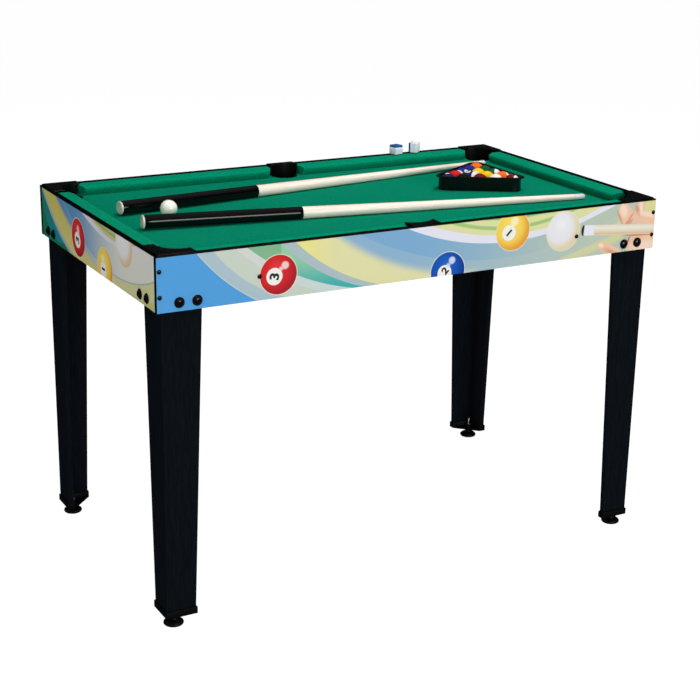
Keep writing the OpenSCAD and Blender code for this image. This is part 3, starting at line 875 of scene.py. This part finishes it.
def pockets():
    for word, place, is_corner in pocket_places():
        skin = Skin(place)
        flange = corner_flange() if is_corner else middle_flange()
        skin.slab(flange, RAIL_Z, RAIL_Z + FLANGE_T, 1.3 * MM)
        pocket_wall(skin)
        pocket_cup(skin)
        skin.piece(f"pocket_{word}_liner", "pocket", "pocket_plastic", [f"pocket_{word}"])


# ---------------- cloth and cushions

CLOTH_GRID = 12 * MM


def grid(half_l, half_w):
    """(border points going round, inner points) of an even grid."""
    along, across = round(2 * half_l / CLOTH_GRID), round(2 * half_w / CLOTH_GRID)
    xs = [-half_l + 2 * half_l * i / along for i in range(along + 1)]
    ys = [-half_w + 2 * half_w * i / across for i in range(across + 1)]
    border = [(x, -half_w) for x in xs[:-1]] + [(half_l, y) for y in ys[:-1]]
    border += [(x, half_w) for x in xs[:0:-1]] + [(-half_l, y) for y in ys[:0:-1]]
    return [Vector(p) for p in border], [Vector((x, y)) for x in xs[1:-1] for y in ys[1:-1]]


def middle_of(points):
    return sum(points, 0 * points[0]) / len(points)


def cut_sheet(half_l, half_w, holes):
    """(points, triangles) of a flat sheet cut round its holes."""
    border, inner = grid(half_l, half_w)
    points, edges = [], []
    for loop in [border, *holes]:
        first, count = len(points), len(loop)
        points += loop
        edges += [(first + i, first + (i + 1) % count) for i in range(count)]
    middles = [middle_of(hole) for hole in holes]
    clear = RIM_R + POCKET_T + CLOTH_GRID / 2
    points += [p for p in inner if all((p - m).length > clear for m in middles)]
    flat, _, faces, _, _, _ = geometry.delaunay_2d_cdt(points, edges, [], 0, 1e-6)
    kept = []
    for face in faces:
        at = middle_of([flat[i] for i in face])
        if not any(inside_outline(at, hole) for hole in holes):
            kept.append(face)
    return flat, kept


def inside_outline(at, outline):
    """True if the point lies inside the polygon."""
    inside = False
    for a, b in zip(outline, outline[1:] + outline[:1]):
        if (a.y > at.y) != (b.y > at.y) and at.x < (b.x - a.x) * (at.y - a.y) / (b.y - a.y) + a.x:
            inside = not inside
    return inside


def thick_sheet(flat, triangles):
    """The sheet's closed mesh, with softly rolled upper edges."""
    skin = Skin()
    under = 0.05 * MM
    top = [skin.vert((p.x, p.y, FIELD_Z)) for p in flat]
    bottom = [skin.vert((p.x, p.y, FIELD_Z - CLOTH_T + under)) for p in flat]
    directed = {}
    for face in triangles:
        skin.face([top[i] for i in face])
        skin.face([bottom[i] for i in face[::-1]])
        directed.update(dict.fromkeys(zip(face, face[1:] + face[:1])))
    for a, b in directed:
        if (b, a) not in directed:
            skin.face((top[b], top[a], bottom[a], bottom[b]))
    loose = [v for v in skin.bm.verts if not v.link_faces]
    bmesh.ops.delete(skin.bm, geom=loose, context="VERTS")
    rim = [e for e in skin.bm.edges if e.calc_face_angle(0) > 1]
    rim = [e for e in rim if min(v.co.z for v in e.verts) > FIELD_Z - under]
    bmesh.ops.bevel(skin.bm, geom=rim, offset=0.6 * MM, segments=3, profile=0.5, affect="EDGES")
    return skin


def playing_cloth():
    """One sheet stretched over the board and cut round the cups."""
    half_l, half_w = HALF_L - PANEL, HALF_W - PANEL
    holes = []
    for _, place, _ in pocket_places():
        holes.append([(place @ Vector((x, y, 0))).to_2d() for x, y in cup_outline(POCKET_T)])
    skin = thick_sheet(*cut_sheet(half_l, half_w, holes))
    made = skin.piece("stretched_cloth", "cloth", "cloth", ["playfield_cloth"])


CUSHION_W, CUSHION_BASE, CUSHION_DROP = 38 * MM, 34 * MM, 2 * MM
CORNER_END, MIDDLE_END = 78 * MM, 36 * MM
LONG_PULL, SHORT_PULL = 3 * MM, 10 * MM
END_CUT, END_CUT_L = 10 * MM, 22 * MM
WRAP_FOLD, RIPPLE = 1.8 * MM, 0.12 * MM


def cushion_section(low, high):
    """A cushion's outline across: flat below and behind, with its nose towards the field."""
    nose = [(CUSHION_W, low + 11 * MM), (CUSHION_W, low + 18 * MM)]
    corners = [(0, low), (CUSHION_BASE, low), *nose, (CUSHION_W - 12 * MM, high), (0, high)]
    return fillet(corners, [0, 0.6 * MM, 2.4 * MM, 3.6 * MM, 16 * MM, 0], 5)


def cushion_stations(length):
    """(distance along, how far the section is pulled in) of each ring; the cloth folds over both ends."""
    lap = [(0, 1.0), (0.08, 0.62), (0.3, 0.28), (0.62, 0.07), (1.0, 0.0)]
    ends = [(WRAP_FOLD * way, WRAP_FOLD * pull) for way, pull in lap]
    count = round(length / (10 * MM))
    middle = [(length * i / count, 0.0) for i in range(1, count)]
    return ends + middle + [(length - way, pull) for way, pull in ends[::-1]]


def cushion(node, place, length):
    """A cloth-wrapped rubber cushion, drawn along X from the panel's inner face, with its nose cut back."""
    low, high = FIELD_Z, RAIL_Z - CUSHION_DROP
    section = cushion_section(low, high)
    centre_y, centre_z = CUSHION_W * 0.45, (low + high) / 2
    rings = []
    for x, pull in cushion_stations(length):
        points = []
        near = min(x, length - x)
        for y, z in section:
            cut = END_CUT * max(0.0, (y - CUSHION_W / 2) / (CUSHION_W / 2))
            shift = cut * max(0.0, 1 - near / END_CUT_L)
            # Slow ripples in the cloth, different on every cushion
            ripple = noise.noise(Vector((x * 45, y * 30, z * 30)) + place.translation * 7)
            inward = Vector((centre_y - y, centre_z - z)).normalized()
            sunk = pull + (RIPPLE * (1 + ripple) if y > MM and z > low + MM else 0)
            px = x + shift if x < length / 2 else x - shift
            points.append((px, max(0.0, y + inward.x * sunk), max(low, z + inward.y * sunk)))
        rings.append(points)
    skin = Skin(place)
    skin.loft(rings)
    made = skin.piece(f"{node}_wrapped", "cushion", "cushion_cloth", [node], sharp=50)


def cushions():
    long_gap = CORNER_END + LONG_PULL
    for word, side, end in CORNERS:
        place = Matrix.Diagonal((-side, -end, 1, 1)) @ move(long_gap - HALF_L, PANEL - HALF_W)
        cushion(f"cushion_{word}", place, HALF_L - long_gap - MIDDLE_END)
    length = 2 * (HALF_W - CORNER_END - SHORT_PULL)
    for word, side in SIDES:
        place = move(side * (HALF_L - PANEL), -side * length / 2) @ spin(side * 90)
        cushion(f"cushion_{word}", place, length)


# ---------------- legs and feet


def legs():
    for word, _, _ in CORNERS:
        for board in ("wide", "side"):
            node = f"leg_{word}_{board}_board"
            bevelled(node, f"leg_{word}_{board}_panel", "leg", "leg_laminate", 0.7 * MM)
        bevelled(f"leg_cap_{word}", f"leg_{word}_end_cap", "cap", "cap_plastic", 0.5 * MM)
        foot_pad(word)
        foot_stud(word)
    for word, _ in SIDES:
        bevelled(f"cross_beam_{word}", f"cross_beam_{word}_timber", "beam", "beam_wood", 1.2 * MM)
    bevelled("leg_tee_nuts", "leg_tee_nuts_plated", "zinc", "zinc_steel", 0.25 * MM)
    bevelled("foot_nuts", "foot_nuts_plated", "zinc", "zinc_steel", 0.4 * MM)


def foot_pad(word):
    """A moulded levelling pad with a neck for its stud."""
    low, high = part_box(f"foot_pad_{word}")
    reach, top = (high.x - low.x) / 2 / MM, high.z / MM
    corners = [
        (1, 0), (reach - 2, 0), (reach, 2), (reach, 5.2), (reach - 4, 9), (10.5, 11.5), (8.5, 13.5),
        (8.5, top), (4.3, top), (4.3, top - 6), (1, top - 6),
    ]
    skin = Skin(upright(f"foot_pad_{word}"), MM)
    skin.turned(fillet(corners, [0, 1, 2, 2, 5, 3, 3, 0.6, 0.4, 0, 0], 4), 64)
    skin.piece(f"foot_{word}_pad", "foot", "foot_plastic", [f"foot_pad_{word}"], f"foot_{word}", 40)


def foot_stud(word):
    """A stud whose thread is one winding ridge, with a tapered end."""
    low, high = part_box(f"foot_stud_{word}")
    radius, z0, z1 = (high.x - low.x) / 2 / MM, low.z / MM, high.z / MM
    pitch, depth, tip_l, tip_slope, sides = 1.25, 0.35, 1.5, 0.9, 24
    steps = round((z1 - z0) / (pitch / 5))
    rings = []
    for i in range(steps + 1):
        z = z0 + (z1 - z0) * i / steps
        core = radius - max(0.0, z - (z1 - tip_l)) * tip_slope
        points = []
        for k in range(sides):
            angle = 2 * math.pi * k / sides
            phase = (z / pitch - k / sides) % 1
            reach = core - depth * abs(2 * phase - 1)
            points.append((reach * math.cos(angle), reach * math.sin(angle), z))
        rings.append(points)
    skin = Skin(upright(f"foot_pad_{word}"), MM)
    skin.loft(rings)
    skin.piece(f"foot_{word}_threaded_stud", "zinc", "zinc_steel", [f"foot_stud_{word}"], f"foot_{word}", 25)


# ---------------- fasteners


def on_panel(at):
    """(point of a fastener's axis on the panel's outer face, the way that face looks)."""
    if HALF_W - abs(at.y) < HALF_L - abs(at.x):
        way = Vector((0, math.copysign(1, at.y), 0))
        return Vector((at.x, way.y * HALF_W, at.z)), way
    way = Vector((math.copysign(1, at.x), 0, 0))
    return Vector((way.x * HALF_L, at.y, at.z)), way


def hexagon(inner):
    """Radius of a hexagon at an angle."""
    sixth = math.pi / 3
    return lambda angle: inner / math.cos((angle + sixth / 2) % sixth - sixth / 2)


def cross_slot(reach, half):
    """Radius of a cross recess at an angle."""

    def radius(angle):
        narrow = max(min(abs(math.sin(angle)), abs(math.cos(angle))), 1e-6)
        return min(reach, half / narrow)

    return radius


def bolts():
    """Sixteen dome-headed bolts with hex sockets, on washers."""
    heads, washers = Skin(unit=MM), Skin(unit=MM)
    hole_r, washer_r, washer_t = 3.3, 11, 1.5
    head_r, head_h, head_side = 8.5, 4.5, 0.8
    shank_r, shank_l = 2.95, 2 * PANEL / MM + 2
    socket_r, socket_d = 2.5, 2.6
    washer = [
        (hole_r, 0), (washer_r - 0.3, 0), (washer_r, 0.3), (washer_r, washer_t - 0.4),
        (washer_r - 0.5, washer_t), (hole_r, washer_t),
    ]
    dome_z, top = washer_t + head_side, washer_t + head_h
    dome = [(head_r * c, dome_z + (head_h - head_side) * s) for c, s in quarter(8)[:-1]]
    head = [
        (shank_r, -shank_l), (shank_r, washer_t), (head_r - 0.4, washer_t), (head_r, washer_t + 0.4),
        *[(radius, z) for radius, z in dome if radius > socket_r + 1.3],
        (socket_r + 1, top - 0.1), (hexagon(socket_r + 0.35), top - 0.1), (hexagon(socket_r), top - 0.4),
        (hexagon(socket_r), top - socket_d),
    ]
    for at in solids("leg_washers"):
        heads.place = washers.place = facing(*on_panel(at))
        washers.turned(washer, around=True)
        heads.turned(head)
    heads.piece("leg_bolt_heads", "black_steel", "black_steel", ["leg_bolts"])
    washers.piece("leg_bolt_washers", "black_steel", "black_steel", ["leg_washers"])


def screws():
    """Twelve pan-headed screws with cross recesses."""
    skin = Skin(unit=MM)
    head_r, head_h, shank_r, length, point_l, slot_turn = 4.8, 2.4, 1.75, 40, 5, 20
    screw = [
        (shank_r * 0.3, -length), (shank_r, point_l - length), (shank_r, 0), (head_r - 0.2, 0),
        (head_r, 0.3), (head_r - 0.2, 1.1), (head_r - 1.1, 1.95), (head_r - 2, 2.3),
        (cross_slot(2.3, 0.55), head_h), (cross_slot(2, 0.4), head_h - 0.3),
        (cross_slot(0.9, 0.3), head_h - 1.5),
    ]
    for at in solids("apron_screws"):
        on_long_side = Vector((at.x, math.copysign(HALF_W, at.y), at.z))
        skin.place = facing(*on_panel(on_long_side)) @ spin(slot_turn)
        skin.turned(screw)
    skin.piece("apron_screw_heads", "black_steel", "black_steel", ["apron_screws"])


# ---------------- cues, balls, rack and chalk


def axis_of(node):
    """(low end, high end, low radius, high radius) of a turned CAD node, in order along X; radii in mm."""
    bm = welded(node)
    points = [v.co.copy() for v in bm.verts]
    bm.free()
    middle = middle_of(points)
    way = (max(points, key=lambda p: (p - middle).length) - middle).normalized()
    # Each pass turns the axis nearer to the direction in which the points spread the most
    for _ in range(30):
        way = sum(((p - middle) * (p - middle).dot(way) for p in points), Vector()).normalized()
    if way.x < 0:
        way.negate()
    ends = []
    for sign in (-1, 1):
        edge = max(sign * (p - middle).dot(way) for p in points)
        group = [p for p in points if sign * (p - middle).dot(way) > edge - 0.01 * MM]
        centre = middle_of(group)
        ends.append((centre, max((p - centre).length for p in group) / MM))
    return ends[0][0], ends[1][0], ends[0][1], ends[1][1]


def taper(r0, z0, r1, z1, steps=24):
    """The points between the two ends of a straight taper."""
    return [(r0 + (r1 - r0) * i / steps, z0 + (z1 - z0) * i / steps) for i in range(1, steps)]


def cue(word):
    """A two-piece cue: black lacquered butt and pale maple shaft, with a bumper, a ferrule and a tip."""
    start, joint, butt_r, joint_r = axis_of(f"{word}_cue_butt")
    _, ferrule, shaft_r, end_r = axis_of(f"{word}_cue_shaft")
    _, tip, _, _ = axis_of(f"{word}_cue_ferrule")
    place = facing(start, ferrule - joint)
    joint_z = (joint - start).length / MM
    ferrule_z = joint_z + (ferrule - joint).length / MM
    tip_z = ferrule_z + (tip - ferrule).length / MM
    bumper_l, collar, tip_r, tip_side, tip_l = 7, 2.8, end_r - 0.2, 3, 7
    dome = [(tip_r * c, tip_z + tip_side + (tip_l - tip_side) * s) for c, s in quarter(8)[:-1]]
    parts = [
        ("rubber_bumper", "bumper", "cue_bumper_plastic", "bumper", [
            (butt_r - 4, -bumper_l), (butt_r - 2, 0.15 - bumper_l), (butt_r - 0.8, 0.8 - bumper_l),
            (butt_r - 0.2, 2 - bumper_l), (butt_r - 0.1, 3 - bumper_l), (butt_r - 0.3, -collar),
        ]),
        ("lacquered_butt", "lacquer", "cue_lacquer", "butt", [
            (butt_r - 0.6, -collar), (butt_r - 0.15, 0.2 - collar), (butt_r, 0.8 - collar),
            *taper(butt_r, 0, joint_r, joint_z), (joint_r, joint_z - 0.8), (joint_r - 0.4, joint_z),
        ]),
        ("maple_shaft", "maple", "cue_maple", "shaft", [
            (shaft_r - 0.5, joint_z), (shaft_r, joint_z + 0.5),
            *taper(shaft_r, joint_z, end_r, ferrule_z), (end_r, ferrule_z),
        ]),
        ("ferrule_sleeve", "ferrule", "cue_ferrule_plastic", "ferrule", [
            (end_r - 0.15, ferrule_z), (end_r, ferrule_z + 0.2), (end_r, tip_z - 0.4), (end_r - 0.3, tip_z),
        ]),
        ("leather_tip", "tip", "cue_tip_leather", "tip", [
            (tip_r - 0.2, tip_z), (tip_r, tip_z + 0.3), (tip_r, tip_z + 2.6), *dome,
        ]),
    ]
    for name, key, slot, node, profile in parts:
        skin = Skin(place, MM)
        skin.turned(profile, 64)
        skin.piece(f"{word}_cue_{name}", key, slot, [f"{word}_cue_{node}"], f"{word}_cue", 35)


BALL_COLOURS = {
    1: (246, 196, 30), 2: (24, 44, 130), 3: (206, 34, 32), 4: (38, 26, 92), 5: (250, 112, 30),
    6: (10, 84, 50), 7: (112, 20, 26), 8: (14, 14, 16),
}
# Ball numbers by row, from the rack's far point
RACKED = [[5], [2, 6], [10, 9, 14], [3, 12, 1, 13], [4, 8, 7, 11, 15]]
BALL_GAP = 0.02 * MM


def racked_balls():
    """(centres, their middle, the far corner's centre) of the CAD's racked balls."""
    centres = solids("object_balls")
    middle = middle_of(centres)
    corners = sorted(centres, key=lambda p: -(p - middle).length)[:3]
    return centres, middle, max(corners, key=lambda p: p.y)


def object_balls():
    """Fifteen numbered balls, solids and stripes, standing for the racked set."""
    random.seed(4)
    centres, middle, apex = racked_balls()
    back = (apex - middle).normalized()
    right = back.cross(Vector((0, 0, 1)))
    row_step = BALL_R * math.sqrt(3)
    rows = [[] for _ in RACKED]
    for at in centres:
        rows[round((apex - at).dot(back) / row_step)].append(at)
    for row, numbers in zip(rows, RACKED):
        row.sort(key=lambda p: p.dot(right))
        for at, number in zip(row, numbers):
            lean = Matrix.Rotation(random.uniform(-1.5, 1.5), 4, "X")
            swing = Matrix.Rotation(random.uniform(0, 6.28), 4, "Z")
            place = Matrix.Translation(at) @ swing @ lean @ Matrix.Rotation(random.uniform(0, 6.28), 4, "Z")
            numbered_ball(place, number)


def numbered_ball(place, number):
    """A ball with its number on two sides, bent to the sphere and a hair proud of it."""
    key = f"ball_{number}"
    MATERIALS[key] = ball_resin(f"ball_resin_{number}", BALL_COLOURS[(number - 1) % 8 + 1], number > 8)
    radius, proud = BALL_R - BALL_GAP, 0.05 * MM
    size = 7.2 * MM if number < 10 else 6.2 * MM
    skin = Skin(place)
    sphere(skin, radius)
    points, faces = text_mesh(str(number), size, proud)
    skin.slot = 1
    for side in (1, -1):
        def bend(p, side=side):
            return Vector((p.x * side, p.y, side * radius)).normalized() * (radius + p.z)
        skin.add(points, [f[::side] for f in faces], bend)
    nodes = ["object_balls"] if number == 1 else []
    skin.piece(f"ball_{number:02d}", f"{key} ink", "ball_resin", nodes, "object_balls", 60)


def sphere(skin, radius, levels=24, cap=0.35):
    """A ball as stacked rings between two small polar caps; cap is their share of a step."""
    turns = [math.pi * (i + cap) / (levels - 1 + 2 * cap) for i in range(levels)]
    skin.turned([(radius * math.sin(t), -radius * math.cos(t)) for t in turns])


def cue_ball():
    low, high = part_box("cue_ball")
    skin = Skin(Matrix.Translation((low + high) / 2))
    sphere(skin, BALL_R - BALL_GAP)
    skin.piece("white_cue_ball", "cue_ball", "cue_ball_resin", ["cue_ball"], "cue_ball", 60)


def ball_rack():
    """A moulded triangle with thin walls and an outward lip."""
    low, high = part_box("ball_rack")
    _, middle, apex = racked_balls()
    turn = math.degrees(math.atan2(apex.y - middle.y, apex.x - middle.x))
    place = move(middle.x, middle.y, low.z) @ spin(turn)
    to_corner = (apex - middle).length / MM
    height, wall, clear = (high.z - low.z) / MM, 2.5, 0.4
    lip, lip_t, lip_r = 3, 2.5, 19
    inner = BALL_R / MM + clear
    outer = inner + wall
    rim, shelf = outer + lip, height - lip_t

    def outline(reach, corner_r):
        """A triangle whose sides lie reach outside the corner balls' centres."""
        from_middle = to_corner + 2 * (reach - corner_r)
        points = []
        for angle in (0, 120, 240):
            x, y = from_middle * math.cos(math.radians(angle)), from_middle * math.sin(math.radians(angle))
            points += arc(x, y, corner_r, angle - 60, angle + 60, 14)
        return points

    section = [
        (inner, inner, 0.5), (inner + 0.3, inner, 0), (outer - 0.4, outer, 0), (outer, outer, 0.5),
        (outer, outer, shelf - 1.2), (outer + 0.35, outer, shelf - 0.35), (outer + 1.2, outer - 2, shelf),
        (rim - 0.4, lip_r, shelf), (rim, lip_r, shelf + 0.5), (rim, lip_r, height - 0.7),
        (rim - 0.7, lip_r, height), (inner + 0.7, inner, height), (inner, inner, height - 0.7),
    ]
    skin = Skin(place, MM)
    skin.loft([lifted(outline(reach, radius), z) for reach, radius, z in section], around=True)
    skin.piece("triangle_rack", "rack", "rack_plastic", ["ball_rack"], "ball_rack", 40)


CHALK_HALF = 12.5


def chalk(word, place):
    """A chalk cube: a pressed block with a worn hollow, in a paper sleeve."""
    height, sleeve = 23, 17.5
    body = f"chalk_{word}"
    skin = Skin(place, MM)
    square = [(x * CHALK_HALF, y * CHALK_HALF) for x, y in ((-1, -1), (1, -1), (1, 1), (-1, 1))]
    square = fillet(square, 1.2, 4)
    skin.slab(square, 0, sleeve, 0.3, 0.5)
    skin.slot = 1
    block = inset(square, 0.25)
    sides = [(0, sleeve - 1), (0, height - 3), (0.5, height - 1.8), (2.2, height - 0.3), (3, height)]
    rings = [lifted(inset(block, depth), z) for depth, z in sides]
    angles = [math.atan2(y, x) for x, y, _ in rings[-1]]
    for reach, drop in ((7.6, 0.15), (6.2, 0.8), (4.6, 1.4), (2.6, 1.85), (0.8, 2.0)):
        rings.append([(reach * math.cos(a), reach * math.sin(a), height - drop) for a in angles])
    skin.loft(rings)
    skin.piece(f"chalk_{word}_cube", "paper chalk", "chalk", [body], body, 40)


def chalks():
    """One cube stands on its foot and the other lies on its side."""
    left_turn, right_turn, half_height = 12, -51, 11.5 * MM
    chalk("left", upright("chalk_left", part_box("chalk_left")[0].z) @ spin(left_turn))
    lying = move(half_height, 0, CHALK_HALF * MM) @ spin(-90, "Y")
    chalk("right", upright("chalk_right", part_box("chalk_right")[0].z) @ spin(right_turn) @ lying)


# ---------------- stage


def white_floor():
    """A wide floor that glows, so that it stays white."""
    half, depth = 200.0, 0.02
    g = Surface("white_floor", Emission_Color=(1, 1, 1, 1), Emission_Strength=0.95, Specular_IOR_Level=0.0)
    MATERIALS["floor"] = g.finish((0.2, 0.2, 0.2, 1), 0.9)
    skin = Skin()
    skin.slab([(-half, -half), (half, -half), (half, half), (-half, half)], -depth, 0)
    floor = skin.to_object("floor", "floor")
    floor.visible_glossy = False


def soft_world():
    """Soft light that grows from the horizon to overhead; the camera itself sees plain white."""
    horizon, overhead = (0.5, 0.02), (0.8, 0.3)
    world = bpy.data.worlds.new("studio")
    world.use_nodes = True
    g = Graph(world.node_tree)
    height = g.axes(g.add("ShaderNodeTexCoord").outputs["Generated"])[2]
    fade = g.add("ShaderNodeMapRange", [height, horizon[0], overhead[0], horizon[1], overhead[1]])
    seen = g.add("ShaderNodeLightPath").outputs["Is Camera Ray"]
    background = g.tree.nodes["Background"]
    g.feed(background.inputs["Color"], (1, 1, 1, 1))
    g.feed(background.inputs["Strength"], g.math("MAXIMUM", fade.outputs[0], seen))
    bpy.context.scene.world = world


def add_light(name, at, size_x, size_y, watts, glossy=True):
    """A soft rectangular lamp aimed at the middle of the table, out of the camera's sight."""
    data = bpy.data.lights.new(name, "AREA")
    data.shape = "RECTANGLE"
    data.size, data.size_y = size_x, size_y
    data.energy = watts
    lamp = add_object(name, data)
    lamp.location = at
    lamp.rotation_euler = (TABLE_MIDDLE - Vector(at)).to_track_quat("-Z", "Y").to_euler()
    lamp.visible_camera = False
    lamp.visible_glossy = glossy


def add_camera():
    lens = bpy.data.cameras.new("camera")
    lens.sensor_width = 36
    lens.lens = CAMERA_LENS
    camera = add_object("camera", lens)
    turn = spin(CAMERA_AZIMUTH) @ spin(90 - CAMERA_ELEVATION, "X") @ spin(CAMERA_ROLL)
    camera.matrix_world = move(*CAMERA_AT) @ turn
    bpy.context.scene.camera = camera
    bpy.context.scene.view_settings.view_transform = "Standard"


white_floor()
soft_world()
add_light("key_light", (0.6, -4.6, 1.7), 2.4, 1.4, 98)
add_light("top_light", (0.4, -0.4, 3.3), 3.6, 0.8, 70, glossy=False)
add_light("fill_light", (-2.6, -1.0, 1.6), 1.0, 0.8, 13, glossy=False)
add_camera()
panels()
pockets()
playing_cloth()
cushions()
legs()
bolts()
screws()
for cue_word in ("front", "rear"):
    cue(cue_word)
object_balls()
cue_ball()
ball_rack()
chalks()
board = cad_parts["playfield_board"]
board.data.materials.clear()
board.data.materials.append(MATERIALS["board"])
